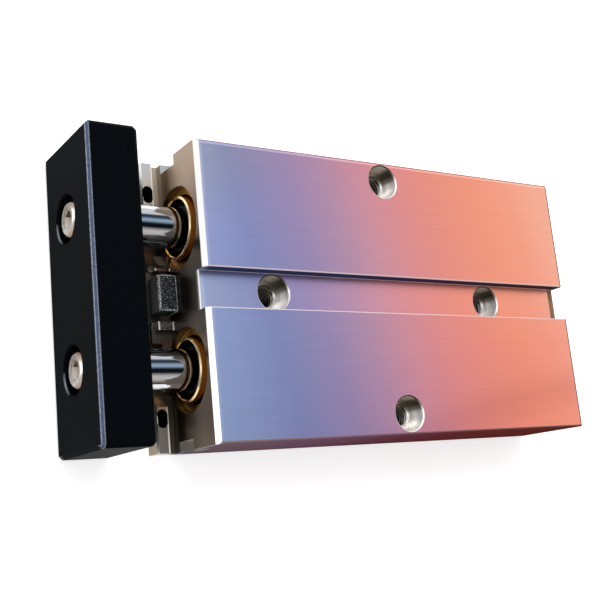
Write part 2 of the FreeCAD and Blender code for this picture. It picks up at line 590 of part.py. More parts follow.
def make_gland(side, hand):
    """The bronze gland: a nose in the bore's mouth, and seats inside it for wiper, bushing and seal."""
    nose_end = "front_x + nose_reach"
    wiper_wall = f"{NOSE} - nose_rim"
    bushing_seat = f"{BUSHING} + seat_gap"
    outside = f"{SEAT} / 2 - seat_gap"
    ring_back = "front_x - front_ring_depth - ring_thickness"
    groove_front = "front_x - gland_o_ring_depth + o_ring_groove / 2"
    groove_back = "front_x - gland_o_ring_depth - o_ring_groove / 2"
    groove_floor = f"{outside} - o_ring"
    bushing_end = f"{GLAND_REAR} + bushing_stop"
    cavity_end = f"{GLAND_REAR} + seal_seat"
    turned(f"gland_{hand}", [
        (f"{nose_end} - nose_bevel", wiper_wall), (nose_end, f"{wiper_wall} + nose_bevel"),
        (nose_end, f"{NOSE} - nose_bevel"), (f"{nose_end} - nose_bevel", NOSE), (ring_back, NOSE),
        (ring_back, outside), (groove_front, outside), (groove_front, groove_floor),
        (groove_back, groove_floor), (groove_back, outside), (GLAND_REAR, outside),
        (GLAND_REAR, SEAL_CAVITY), (cavity_end, SEAL_CAVITY), (cavity_end, "rod / 2 + rod_room"),
        (bushing_end, "rod / 2 + rod_room"), (bushing_end, bushing_seat),
        ("front_x - wiper_seat", bushing_seat), ("front_x - wiper_seat", wiper_wall),
    ], side)


def make_gland_fillings(side, hand):
    """Wiper, bushing, seal and bumper inside the gland, and the O-ring round it."""
    on_rod = "rod / 2 + running_gap"
    wiper_back = "front_x - wiper_seat"
    wiper_out = f"{NOSE} - nose_rim - seat_gap"
    turned(f"wiper_{hand}", [
        (wiper_back, on_rod), (f"{wiper_back} + wiper_length", on_rod),
        (f"{wiper_back} + wiper_length", f"{on_rod} + wiper_slope / 2"),
        (f"{wiper_back} + wiper_length - wiper_slope", f"{wiper_out} - wiper_slope / 2"),
        (f"{wiper_back} + wiper_length - wiper_slope", wiper_out), (wiper_back, wiper_out),
    ], side)
    turned(f"bushing_{hand}", tube_section(
        f"{GLAND_REAR} + bushing_stop", f"{wiper_back} - bushing_gap", on_rod, BUSHING), side)
    seal_front = f"{GLAND_REAR} + seal_seat"
    seal_out = f"{SEAL_CAVITY} - seat_gap"
    turned(f"rod_seal_{hand}", [
        (f"{seal_front} - seal_length", f"{on_rod} + rod_room"),
        (f"{seal_front} - seal_length / 2", on_rod), (seal_front, on_rod), (seal_front, seal_out),
        (f"{seal_front} - seal_length", seal_out),
    ], side)
    turned(f"front_bumper_{hand}", tube_section(
        f"{GLAND_REAR} - bumper_proud", f"{GLAND_REAR} + bumper_seat",
        "rod / 2 + rod_room", seal_out), side)
    make_o_ring(f"gland_o_ring_{hand}", "front_x - gland_o_ring_depth", side)


def make_o_ring(name, middle, side):
    """An O-ring between its groove's floor and the seat's wall, its section drawn with six sides."""
    centre = f"{SEAT} / 2 - seat_gap - o_ring / 2"
    radius = "(o_ring / 2 - seat_gap / 2)"
    turned(name, [
        (f"{middle} + {radius} * sin({angle})", f"{centre} + {radius} * cos({angle})")
        for angle in range(0, 360, 60)
    ], side)


def make_retaining_ring(name, start, side):
    """A spring ring for bores, its opening at the bottom and a hole for the pliers at each end."""
    outer = f"({SEAT} / 2 + ring_bite)"
    middle = f"({outer} - ring_band / 2)"
    body = new_body(name, side)
    sketch = new_sketch(body, f"{name}_section", "XZ_Plane")
    outline(sketch, tube_section(start, f"{start} + ring_thickness", f"{outer} - ring_band", outer))
    ring = revolve(body, "Revolution", f"{name}_turned", sketch, "H_Axis")
    ring.Midplane = True
    ring.setExpression("Angle", bound("360 - ring_opening"))
    holes = new_sketch(body, f"{name}_holes_plan", "YZ_Plane", off=f"{start} + ring_thickness + {BEYOND}")
    for way in (1, -1):
        turn = "(ring_opening / 2 + ring_hole_turn)"
        circle(holes, (f"{way} * {middle} * sin({turn})", f"-{middle} * cos({turn})"), "ring_hole / 2")
    extrude(body, "Pocket", f"{name}_holes", holes, length=f"ring_thickness + 2 * {BEYOND}")


def make_piston(side, hand):
    """The piston on its spigot, with three grooves, and the pieces in those grooves."""
    outside = "(bore / 2 - piston_gap)"
    seal_start = "(2 * land + wear_ring_width)"
    magnet_start = f"({seal_start} + piston_seal_width + land)"
    cuts = [
        # name, from the front, width, depth, and whether the piece reaches the bore
        ("wear_ring", "land", "wear_ring_width", "wear_ring_depth", True),
        ("piston_seal", seal_start, "piston_seal_width", "piston_seal_depth", True),
        ("magnet", magnet_start, "magnet_width", "magnet_depth", False),
    ]
    hole = "spigot / 2 + seat_gap"
    section = [(PISTON_REAR, hole), (PISTON_FRONT, hole), (PISTON_FRONT, outside)]
    for name, start, width, depth, to_bore in cuts:
        near, far = f"{PISTON_FRONT} - {start}", f"{PISTON_FRONT} - {start} - {width}"
        floor = f"{outside} - {depth}"
        section += [(near, outside), (near, floor), (far, floor), (far, outside)]
        reach = "bore / 2 - running_gap" if to_bore else f"{outside} - running_gap"
        turned(f"{name}_{hand}", tube_section(
            f"{far} + seat_gap", f"{near} - seat_gap", f"{floor} + seat_gap", reach), side)
    section.append((PISTON_REAR, outside))
    turned(f"piston_{hand}", section, side)


def make_piston_nut(side, hand):
    nut = new_body(f"piston_nut_{hand}", side)
    sketch = new_sketch(nut, f"piston_nut_{hand}_plan", "YZ_Plane", off=PISTON_REAR)
    hexagon(sketch, "nut_width")
    circle(sketch, ("0", "0"), "spigot / 2 + seat_gap")
    extrude(nut, "Pad", f"piston_nut_{hand}_bar", sketch, length="nut_height", against=True)


def make_rear_cap(side, hand):
    """The rear cap, its O-ring and the bumper that the piston comes back to."""
    outside = f"{SEAT} / 2 - seat_gap"
    cap_back = f"{REAR_X} + rear_ring_depth + ring_thickness"
    groove_back = f"{REAR_X} + cap_o_ring_depth - o_ring_groove / 2"
    groove_front = f"{REAR_X} + cap_o_ring_depth + o_ring_groove / 2"
    groove_floor = f"{outside} - o_ring"
    bumper_floor = f"{CAP_FRONT} - rear_bumper_seat"
    nut_floor = f"{PISTON_REAR} - nut_height - spigot_over - nut_room"
    turned(f"rear_cap_{hand}", [
        (cap_back, "0"), (cap_back, f"{outside} - cap_bevel"), (f"{cap_back} + cap_bevel", outside),
        (groove_back, outside), (groove_back, groove_floor), (groove_front, groove_floor),
        (groove_front, outside), (CAP_FRONT, outside), (CAP_FRONT, f"{REAR_BUMPER} + seat_gap"),
        (bumper_floor, f"{REAR_BUMPER} + seat_gap"), (bumper_floor, NUT_ROOM), (nut_floor, NUT_ROOM),
        (nut_floor, "0"),
    ], side)
    turned(f"rear_bumper_{hand}", tube_section(
        bumper_floor, f"{CAP_FRONT} + rear_bumper_proud", NUT_ROOM, REAR_BUMPER), side)
    make_o_ring(f"cap_o_ring_{hand}", f"{REAR_X} + cap_o_ring_depth", side)


# ---------------------------------------------------------------- build, check and write

make_body()
make_stop_block()
make_end_plate()
make_plate_screws()
for side, hand in ((1, "left"), (-1, "right")):
    make_rod(side, hand)
    make_gland(side, hand)
    make_gland_fillings(side, hand)
    make_retaining_ring(f"gland_ring_{hand}", "front_x - front_ring_depth - ring_thickness", side)
    make_piston(side, hand)
    make_piston_nut(side, hand)
    make_rear_cap(side, hand)
    make_retaining_ring(f"cap_ring_{hand}", f"{REAR_X} + rear_ring_depth", side)
doc.recompute()

for item in doc.Objects:
    if "Invalid" in item.State or "Error" in item.State:
        raise RuntimeError(f"{item.Label} did not build: {item.State}")
    if item.TypeId in ("PartDesign::Pocket", "PartDesign::Groove", "PartDesign::Chamfer"):
        if not item.Shape.Volume < item.BaseFeature.Shape.Volume - 1e-6:
            raise RuntimeError(f"{item.Label} cuts nothing")

in_groups = {link for item in doc.Objects if item.TypeId == "Part::Compound" for link in item.Links}
pieces = [
    item for item in doc.Objects
    if item.TypeId in ("PartDesign::Body", "Part::Compound") and item not in in_groups
]
os.makedirs("parts", exist_ok=True)
for piece in pieces:
    if piece.Shape.isNull() or not piece.Shape.isValid():
        raise RuntimeError(f"{piece.Label} has no valid shape")
    piece.Shape.exportStep(f"parts/{piece.Label}.step")
print(f"{len(pieces)} pieces, {sum(len(piece.Shape.Solids) for piece in pieces)} solids")
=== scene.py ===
"""Guided pneumatic cylinder: the finishes of its pieces, its screws and threads, and a plain studio."""

import json
import math
from functools import reduce
from types import SimpleNamespace

import bmesh
import bpy
from mathutils import Matrix, Vector


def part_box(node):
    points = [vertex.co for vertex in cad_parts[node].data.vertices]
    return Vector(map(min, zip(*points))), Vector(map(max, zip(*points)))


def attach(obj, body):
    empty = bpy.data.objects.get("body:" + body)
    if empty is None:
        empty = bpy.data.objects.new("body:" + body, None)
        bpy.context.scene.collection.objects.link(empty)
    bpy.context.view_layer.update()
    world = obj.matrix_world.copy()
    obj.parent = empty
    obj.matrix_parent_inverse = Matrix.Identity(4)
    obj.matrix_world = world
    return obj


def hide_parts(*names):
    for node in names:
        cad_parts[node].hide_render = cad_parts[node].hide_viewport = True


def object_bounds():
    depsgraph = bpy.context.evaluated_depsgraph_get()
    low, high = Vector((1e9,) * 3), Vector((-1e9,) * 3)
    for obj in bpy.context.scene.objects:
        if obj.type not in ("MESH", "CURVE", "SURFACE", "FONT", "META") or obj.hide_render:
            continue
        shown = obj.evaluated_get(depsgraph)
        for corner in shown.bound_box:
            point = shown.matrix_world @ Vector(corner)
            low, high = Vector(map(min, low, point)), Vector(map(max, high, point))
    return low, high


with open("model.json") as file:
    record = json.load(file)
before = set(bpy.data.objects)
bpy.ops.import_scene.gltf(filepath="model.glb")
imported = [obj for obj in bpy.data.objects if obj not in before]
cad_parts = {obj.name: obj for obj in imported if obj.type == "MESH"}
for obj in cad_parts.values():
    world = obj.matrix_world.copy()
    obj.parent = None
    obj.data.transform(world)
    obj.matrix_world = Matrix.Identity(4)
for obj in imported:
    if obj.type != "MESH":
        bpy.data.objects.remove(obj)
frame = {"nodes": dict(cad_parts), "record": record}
cad_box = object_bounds()

scene = bpy.context.scene


# ---------------------------------------------------------------- sizes, in metres

MM = 0.001
BODY_LOW, BODY_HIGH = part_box("body")
GLAND_LOW, GLAND_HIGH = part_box("gland_left")
SCREWS_LOW, SCREWS_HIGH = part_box("plate_screws")

FLOOR = cad_box[0][2]
PLATE_FRONT = cad_box[1][0]
REAR = BODY_LOW[0]
HALF_WIDTH = BODY_HIGH[1]
TOP = BODY_HIGH[2]
LIP_TOP = 4.5 * MM                                  # the lip is as high as it reaches forward
FRONT = BODY_HIGH[0] - LIP_TOP                      # the block's front face, behind the lip's
AXIS_OUT = (GLAND_LOW[1] + GLAND_HIGH[1]) / 2       # from the middle out to the axis of a rod and its gland
AXIS_UP = (GLAND_LOW[2] + GLAND_HIGH[2]) / 2
GROOVE_HALF = 3.85 * MM                             # half the width of the long groove
GROOVE_FLOOR = 17 * MM
HOLES_ALONG = 28 * MM                               # from the middle to each mounting hole in the groove
HOLES_ACROSS = 24.75 * MM                           # and to each mounting hole beside it
PORTS_ALONG = (14 * MM, -35.8 * MM)
SLOT_ALONG = 47.6 * MM                              # middles of the lip's two slots
SLOT_OUT = 22.4 * MM
STOP_SIDE = -1.3 * MM                               # how far the stop block lies off the middle
CREST_OUT = 5.9 * MM                                # from the stop block's middle to each crest beside it
NOSE_INSIDE = 5.6 * MM                              # radius of the inner wall of a gland's nose
THREAD_RADIUS = 2.15 * MM                           # the M5 threads of the mounting holes and the ports
THREAD_PITCH = 0.8 * MM
DYE_REAR, DYE_FRONT = -52 * MM, 48 * MM             # where the dye's first and last colours lie
DYE_SLANT = 0.22                                    # how far its bands run along the block as they cross it


# ---------------------------------------------------------------- nodes

MATH = "ShaderNodeMath"
VECTOR = "ShaderNodeVectorMath"
SPLIT = "ShaderNodeSeparateXYZ"
RANGE = "ShaderNodeMapRange"
RAMP = "ShaderNodeValToRGB"
COLOUR_A, COLOUR_B = 6, 7                           # sockets of a Mix node that mixes colours
VALUE_A, VALUE_B = 2, 3                             # and of one that mixes numbers


def linear(code):
    """An sRGB hex colour as linear RGBA."""
    channels = [int(code[i:i + 2], 16) / 255 for i in (0, 2, 4)]
    return [c / 12.92 if c <= 0.04045 else ((c + 0.055) / 1.055) ** 2.4 for c in channels] + [1.0]


def feed(tree, node, inputs):
    """Fill a node's inputs, given by name or in order: each with a value, a hex colour, a socket,
    or a node, which is linked by its first live output."""
    pairs = inputs.items() if isinstance(inputs, dict) else enumerate(inputs)
    for key, value in pairs:
        if isinstance(value, bpy.types.Node):
            value = next(output for output in value.outputs if output.enabled)
        if isinstance(value, bpy.types.NodeSocket):
            tree.links.new(value, node.inputs[key])
        else:
            node.inputs[key].default_value = linear(value) if isinstance(value, str) else value


def add(tree, kind, inputs=(), stops=(), **settings):
    """Add a node with its settings, its links and, on a colour ramp, its (place, hex colour) stops."""
    node = tree.nodes.new(kind)
    for name, value in settings.items():
        setattr(node, name, value)
    feed(tree, node, inputs)
    if stops:
        elements = node.color_ramp.elements
        while len(elements) < len(stops):
            elements.new(0.5)
        for element, (place, colour) in zip(elements, stops):
            element.position = place
            element.color = linear(colour)
    return node


def zone(tree, *limits):
    """1 within every limit, 0 elsewhere. A limit is (value, low, high), None where it is open,
    or another zone."""
    tests = []
    for limit in limits:
        value, low, high = limit if isinstance(limit, tuple) else (limit, None, None)
        if low is None and high is None:
            tests.append(value)
        if low is not None:
            tests.append(add(tree, MATH, [value, low], operation="GREATER_THAN"))
        if high is not None:
            tests.append(add(tree, MATH, [value, high], operation="LESS_THAN"))
    return reduce(lambda one, other: add(tree, MATH, [one, other], operation="MULTIPLY"), tests)


def union(tree, *zones):
    """The strongest of some zones at each point."""
    return reduce(lambda one, other: add(tree, MATH, [one, other], operation="MAXIMUM"), zones)


def painted(tree, base, *coats):
    """A base colour with each coat, a (zone, colour) pair, laid over those before it."""
    for where, colour in coats:
        inputs = {"Factor": where, COLOUR_A: base, COLOUR_B: colour}
        base = add(tree, "ShaderNodeMix", inputs, data_type="RGBA")
    return base


def grain(tree, size_mm, detail=3.0, stretch=(1, 1, 1), place=None):
    """Noise in the piece's own space, its grain size_mm across, drawn out along an axis by stretch."""
    place = place or add(tree, "ShaderNodeTexCoord").outputs["Object"]
    scale = [1 / (size_mm * MM * drawn_out) for drawn_out in stretch]
    drawn = add(tree, "ShaderNodeMapping", {"Vector": place, "Scale": scale})
    return add(tree, "ShaderNodeTexNoise", {"Vector": drawn, "Scale": 1.0, "Detail": detail})


def lathe_place(tree):
    """Place on a piece turned about a rod's axis: X along it and Y out from it, the same all round."""
    coords = add(tree, "ShaderNodeTexCoord").outputs
    place = add(tree, SPLIT, [coords["Object"]]).outputs
    side = add(tree, MATH, [place["Y"]], operation="ABSOLUTE")
    across = add(tree, MATH, [side, AXIS_OUT], operation="SUBTRACT")
    height = add(tree, MATH, [place["Z"], AXIS_UP], operation="SUBTRACT")
    flat = add(tree, "ShaderNodeCombineXYZ", {"X": across, "Y": height})
    out = add(tree, VECTOR, [flat], operation="LENGTH")
    return add(tree, "ShaderNodeCombineXYZ", {"X": place["X"], "Y": out})


def finish(name, colour, metallic, roughness, specular=0.5):
    """A new material, its tree, and its shader with what is even all over the surface set on it."""
    material = bpy.data.materials.new(name)
    material.use_nodes = True
    tree = material.node_tree
    shader = tree.nodes["Principled BSDF"]
    feed(tree, shader, {"Base Color": colour, "Metallic": metallic, "Roughness": roughness,
                        "Specular IOR Level": specular})
    return material, tree, shader


# ---------------------------------------------------------------- finish of the block

def block_places(tree):
    """The measures that the block's finish is laid out by: places, distances off the middle, the way
    that the surface faces, and, from 0 to 1, how level it is, how far left, and how far along the dye."""
    coords = add(tree, "ShaderNodeTexCoord").outputs
    place = add(tree, SPLIT, [coords["Object"]]).outputs
    facing = add(tree, SPLIT, [coords["Normal"]]).outputs
    slantwise = add(tree, MATH, [place["Y"], DYE_SLANT, place["X"]], operation="MULTIPLY_ADD")
    upright = add(tree, MATH, [facing["Z"]], operation="ABSOLUTE")
    across = {"Value": place["Y"], "From Min": -HALF_WIDTH, "From Max": HALF_WIDTH}
    return SimpleNamespace(
        x=place["X"], y=place["Y"], z=place["Z"],
        half=add(tree, MATH, [place["Y"]], operation="ABSOLUTE"),
        reach=add(tree, MATH, [place["X"]], operation="ABSOLUTE"),
        faces_ahead=facing["X"], faces_left=facing["Y"], faces_up=facing["Z"],
        upright=upright,
        level=add(tree, RANGE, {"Value": upright, "From Min": 0.75, "From Max": 0.9}),
        leftward=add(tree, RANGE, across),
        dye=add(tree, RANGE, {"Value": slantwise, "From Min": DYE_REAR, "From Max": DYE_FRONT}),
    )


def dye_colours(tree, at, brush):
    """The dye from coral at the rear to blue in front, with a darker copy on the sides as painted shade:
    even, and toned by brushing and by its edges.
    """
    face = add(tree, RAMP, [at.dye], stops=[
        (0.00, "ffb59b"), (0.10, "ffa68c"), (0.22, "fc9f84"), (0.34, "f59a8a"), (0.44, "ec9896"),
        (0.53, "dc9ba8"), (0.62, "c29ab5"), (0.72, "a796bf"), (0.84, "9199c6"), (1.00, "a4b2da"),
    ])
    # The sides take a darker copy of the dye: painted shade, for less light falling on them.
    side = add(tree, RAMP, [at.dye], stops=[
        (0.00, "6a322c"), (0.22, "71362f"), (0.42, "78393a"), (0.60, "7a4a5c"), (0.80, "7f6074"),
        (1.00, "7e686e"),
    ])
    even = painted(tree, side, (at.level, face))
    streak = add(tree, RANGE, {"Value": brush, "To Min": 0.88, "To Max": 1.10})
    toned = add(tree, VECTOR, {0: even, "Scale": streak}, operation="SCALE")

    # Near the long edges and in the groove the colour shifts: darker and pinker toward +Y at the coral end, a
    # little warmer toward -Y and in the groove at the blue end, where the groove's floor is also lighter.
    near_left = add(tree, MATH, [at.leftward, 4.0], operation="POWER")
    coral_end = add(tree, MATH, [1.0, at.dye], operation="SUBTRACT")
    reddened = add(tree, MATH, [near_left, coral_end], operation="MULTIPLY")
    deepening = add(tree, RAMP, [reddened], stops=[
        (0.00, "ffffff"), (0.16, "fdf5f9"), (0.30, "faf1f5"), (0.45, "eee0e4"), (0.60, "f4e6e8"),
        (0.70, "faeef0"),
    ])
    toned = add(tree, VECTOR, [toned, deepening], operation="MULTIPLY")

    between = zone(tree, (at.half, None, 4 * MM))
    in_groove = add(tree, MATH, [between, 0.8], operation="MULTIPLY")
    rightward = add(tree, MATH, [1.0, at.leftward], operation="SUBTRACT")
    blued = add(tree, MATH, [union(tree, rightward, in_groove), at.dye], operation="MULTIPLY")
    dulling = add(tree, RAMP, [blued], stops=[(0.30, "ffffff"), (0.62, "fff8f8"), (0.82, "fff4e0")])
    toned = add(tree, VECTOR, [toned, dulling], operation="MULTIPLY")
    blue_groove = add(tree, MATH, [between, at.dye], operation="MULTIPLY")
    lighter = add(tree, MATH, [blue_groove, 0.2, 1.0], operation="MULTIPLY_ADD")
    return even, add(tree, VECTOR, {0: toned, "Scale": lighter}, operation="SCALE")


def mounting_holes(tree, at):
    """The four mounting holes: two in the groove and one on each side of it."""
    rim = 3.81 * MM         # the counterbore's radius and the bevel round it
    holes = []
    for across, along, centre in ((at.half, at.reach, HOLES_ALONG), (at.reach, at.half, HOLES_ACROSS)):
        off = add(tree, MATH, [along, centre], operation="SUBTRACT")
        gap = add(tree, "ShaderNodeCombineXYZ", {"X": off, "Y": across})
        gap = add(tree, VECTOR, [gap], operation="LENGTH")
        holes.append(zone(tree, (gap, None, rim), (at.z, 0.3 * MM, None)))
    return union(tree, *holes)


def dyed_zone(tree, at, holes):
    """The skin that kept its dye: the block's outside and the groove, but not what was milled later."""
    outside = union(
        tree,
        zone(tree, (at.z, TOP - 0.75 * MM, None)),
        zone(tree, (at.z, None, 0.65 * MM)),
        zone(tree, (at.half, HALF_WIDTH - 0.65 * MM, None)),
        zone(tree, (at.x, None, REAR + 0.7 * MM)),
        zone(tree, (at.half, None, GROOVE_HALF + 0.4 * MM), (at.z, GROOVE_FLOOR - 0.015 * MM, None)),
    )
    side_notch = zone(tree, (at.x, FRONT - 3.6 * MM, None), (at.half, None, HALF_WIDTH - 0.1 * MM),
                      (at.z, 4.45 * MM, 10.65 * MM))
    milled = union(tree, holes, side_notch)
    kept = add(tree, MATH, [1.0, milled], operation="SUBTRACT")
    return zone(tree, outside, kept, (at.faces_ahead, None, 0.3), (at.x, None, FRONT - 0.05 * MM))


def milled_colour(tree, at, milling, hole_walls):
    """Bare metal as the cutter left it, with a painted highlight on the front's slanted edges and painted
    shade as a darker brown on its upright front face. The left walls of the holes carry a painted highlight
    and the right ones painted shade."""
    flat = add(tree, RAMP, [milling], stops=[(0.3, "bdb9b3"), (0.7, "c4c0ba")])
    side_on = add(tree, RANGE, {"Value": at.faces_left, "From Min": -1})
    # Painted highlight and shade on the holes' walls, set by which way they face.
    wall = add(tree, RAMP, [side_on], stops=[
        (0.02, "e8e4de"), (0.22, "f4f2ee"), (0.36, "fbf9f8"), (0.55, "ffffff"), (0.66, "8e887c"),
        (0.78, "453f35"), (0.90, "575044"), (0.99, "d8cfbe"),
    ])
    # Painted highlight on the front's slanted edges, and painted shade as a darker brown on its upright face.
    front = add(tree, RAMP, [at.faces_ahead], stops=[
        (0.30, "c4c0ba"), (0.31, "fbfaf8"), (0.94, "fbfaf8"), (0.95, "8f7c6a"),
    ])
    facing_front = zone(tree, (at.faces_ahead, 0.3, None), (at.x, FRONT - 1.5 * MM, None))
    return painted(tree, flat, (hole_walls, wall), (facing_front, front))


def sunk_zones(tree, at):
    """The hollows of the lip: the relief behind it and the two slots, and the relief by itself."""
    relief = zone(tree, (at.x, None, FRONT + 1.93 * MM))
    slots = zone(tree, (at.x, SLOT_ALONG - 1.13 * MM, SLOT_ALONG + 1.13 * MM),
                 (at.half, SLOT_OUT - 1.83 * MM, SLOT_OUT + 1.83 * MM))
    below_lip = (at.z, None, LIP_TOP - 0.02 * MM)
    in_lip = zone(tree, (at.x, FRONT - 0.05 * MM, None), (at.z, LIP_TOP - 1.82 * MM, LIP_TOP - 0.02 * MM))
    sunk = union(tree, zone(tree, in_lip, union(tree, relief, slots)), zone(tree, slots, below_lip))
    return sunk, zone(tree, sunk, relief)


def front_shade_zone(tree, at, sunk):
    """Painted shade on the front: between the glands, toward the left, and in the lip's hollows."""
    at_front = zone(tree, (at.x, FRONT - 0.2 * MM, None), (at.z, None, TOP - 1.1 * MM))
    on_lip = zone(tree, (at.x, FRONT + 0.1 * MM, None))
    shade_edge = add(tree, MATH, [on_lip, 6.5 * MM, 13 * MM], operation="MULTIPLY_ADD")
    inward = add(tree, MATH, [shade_edge, at.half], operation="SUBTRACT")
    shade_fade = add(tree, RANGE, {"Value": inward, "From Max": 5 * MM, "To Max": 0.8})
    leftmost = {"Value": at.y, "From Min": -20 * MM, "From Max": 26 * MM, "To Max": 0.62}
    left_shade = add(tree, RANGE, leftmost)
    face = zone(tree, at_front, (at.x, None, FRONT + 0.05 * MM))
    return union(tree, sunk, zone(tree, shade_fade, at_front), zone(tree, left_shade, face))


def lip_details(tree, at):
    """The painted highlights along the lip's rear edge and the crests' edges, and the two rough crests beside
    the stop block.
    """
    # Thin bright lines of painted highlight on the lip's rear edge and the crests' edges.
    line = zone(tree, (at.x, FRONT + 1.89 * MM, FRONT + 2.17 * MM), (at.half, 15 * MM, None),
                (at.z, LIP_TOP - 0.05 * MM, LIP_TOP + 0.05 * MM))
    off_stop = add(tree, MATH, [at.y, STOP_SIDE], operation="SUBTRACT")
    off_stop = add(tree, MATH, [off_stop], operation="ABSOLUTE")
    crests = zone(tree, (off_stop, CREST_OUT - 0.9 * MM, CREST_OUT + 0.9 * MM),
                  (at.x, FRONT + 0.02 * MM, None))
    off_middle = add(tree, MATH, [at.x, FRONT + 1.65 * MM], operation="SUBTRACT")
    off_middle = add(tree, MATH, [off_middle], operation="ABSOLUTE")
    crest_edges = zone(tree, crests, (off_middle, 1.35 * MM, None), (at.z, 5.78 * MM, 6.02 * MM))
    return union(tree, line, crest_edges), zone(tree, crests, (at.z, 4.44 * MM, 5.96 * MM))


def edge_highlight_zones(tree, at, skin, groove_walls):
    """Painted highlights along edges: the groove's shoulders and feet, and the long corners, also by
    themselves.
    """
    shoulders = zone(tree, (at.z, TOP - 0.2 * MM, None), (at.half, None, GROOVE_HALF + 0.21 * MM))
    feet = zone(tree, groove_walls, (at.z, GROOVE_FLOOR - 0.01 * MM, GROOVE_FLOOR + 0.2 * MM))
    corners = zone(tree, (at.z, TOP - 0.22 * MM, None), (at.half, HALF_WIDTH - 0.45 * MM, None),
                   (at.upright, 0.55, 0.85))
    far_edge = zone(tree, (at.y, None, 0.8 * MM - HALF_WIDTH), (at.z, TOP - 0.1 * MM, None))
    corners = union(tree, corners, far_edge)
    return zone(tree, union(tree, shoulders, feet, corners), skin), corners


def brushed_anodised_block():
    """Extruded aluminium, brushed along its length and dyed as it was anodised, coral into blue. The
    brushing gives fine streaks and a soft sheen, and bare metal shows where it was milled afterwards."""
    material, tree, shader = finish("anodised_aluminium_brushed", "c890a0", 1.0, 0.36, specular=0.0)
    at = block_places(tree)
    # Real brush lines lie about 0.03 mm apart, too fine to show, so these are four times as coarse
    brush = grain(tree, 0.12, 4.0, (70, 1, 1))
    # The cutter left marks about 0.5 mm apart, drawn at that size
    milling = grain(tree, 0.5, 2.0, (1, 12, 1))
    # The crests' cast grit is about 0.1 mm, too fine to show, so this is twice as coarse
    grit = grain(tree, 0.22, 4.0)

    holes = mounting_holes(tree, at)
    hole_walls = zone(tree, (at.faces_up, None, 0.9), holes)
    sunk, relief = sunk_zones(tree, at)
    lip_edge_highlights, crests = lip_details(tree, at)
    # Painted shade in the relief behind the lip, darker toward +Y.
    relief_shade = add(tree, RAMP, [at.leftward], stops=[(0.0, "b8ab99"), (0.35, "8c8071"), (0.8, "4a433a")])
    cast_tone = add(tree, RAMP, [grit], stops=[(0.42, "3c3a38"), (0.58, "8c8985"), (0.70, "dcd9d4")])
    # Over the bare metal go: near-black painted shade on the front and in the lip's hollows, more painted
    # shade in the relief, the crests' cast grit, and painted highlights on the lip's edges.
    bare = painted(
        tree, milled_colour(tree, at, milling, hole_walls),
        (front_shade_zone(tree, at, sunk), "1d1a17"),
        (relief, relief_shade),
        (crests, cast_tone),
        (lip_edge_highlights, "f0ece6"),
    )

    skin = dyed_zone(tree, at, holes)
    groove_walls = zone(tree, (at.half, GROOVE_HALF - 0.03 * MM, GROOVE_HALF + 0.03 * MM))
    edge_highlights, corners = edge_highlight_zones(tree, at, skin, groove_walls)
    # A thin dark line of painted shade along the rear top edge.
    rear_edge_shade = zone(tree, (at.x, None, REAR + 0.78 * MM), (at.z, TOP - 0.7 * MM, None))
    # The groove's run-out is bare milled metal, painted darker and browner than the rest as painted shade.
    runout = zone(tree, (at.z, GROOVE_FLOOR - 0.605 * MM, GROOVE_FLOOR - 0.015 * MM),
                  (at.half, None, GROOVE_HALF - 0.01 * MM), (at.x, None, REAR + 2.5 * MM))
    # The top turns paler toward the front edge, from 1.6 mm before it.
    front_paling = {"Value": at.x, "From Min": FRONT - 1.6 * MM, "From Max": FRONT - 0.8 * MM, "To Max": 0.3}
    # The groove's walls take a dark copy of the dye: painted shade on faces that stand upright.
    wall_shade = add(tree, RAMP, [at.dye], stops=[(0.05, "4a3634"), (0.4, "40385a"), (0.9, "3a456c")])
    even, toned = dye_colours(tree, at, brush)
    # Edges get a painted highlight of pale pink over the even dye, fainter on the long corners.
    highlight_strength = add(tree, MATH, [corners, -0.5, 0.62], operation="MULTIPLY_ADD")
    dyed = painted(
        tree, toned,
        (zone(tree, groove_walls, skin), wall_shade),
        (add(tree, RANGE, front_paling), "e8ecf8"),
        (edge_highlights, painted(tree, even, (highlight_strength, "fff0ec"))),
        (rear_edge_shade, "54322c"),
    )

    roughness = {"Factor": skin, VALUE_A: add(tree, RANGE, {"Value": milling, "To Min": 0.27, "To Max": 0.3}),
                 VALUE_B: add(tree, RANGE, {"Value": brush, "To Min": 0.32, "To Max": 0.4})}
    off_level = add(tree, MATH, [1.0, at.level], operation="SUBTRACT")
    half_dull = add(tree, MATH, [hole_walls, 0.55], operation="MULTIPLY")
    dull = union(tree, zone(tree, skin, off_level), edge_highlights, rear_edge_shade, runout, sunk, lip_edge_highlights, half_dull)
    height = add(tree, MATH, [brush, skin], operation="MULTIPLY")
    feed(tree, shader, {
        "Base Color": painted(tree, bare, (skin, dyed), (runout, "8b7059")),
        "Metallic": add(tree, MATH, [1.0, dull], operation="SUBTRACT"),
        "Roughness": add(tree, "ShaderNodeMix", roughness),
        "Normal": add(tree, "ShaderNodeBump", {"Height": height, "Distance": 0.003 * MM}),
    })
    return material


# ---------------------------------------------------------------- finishes of the other pieces

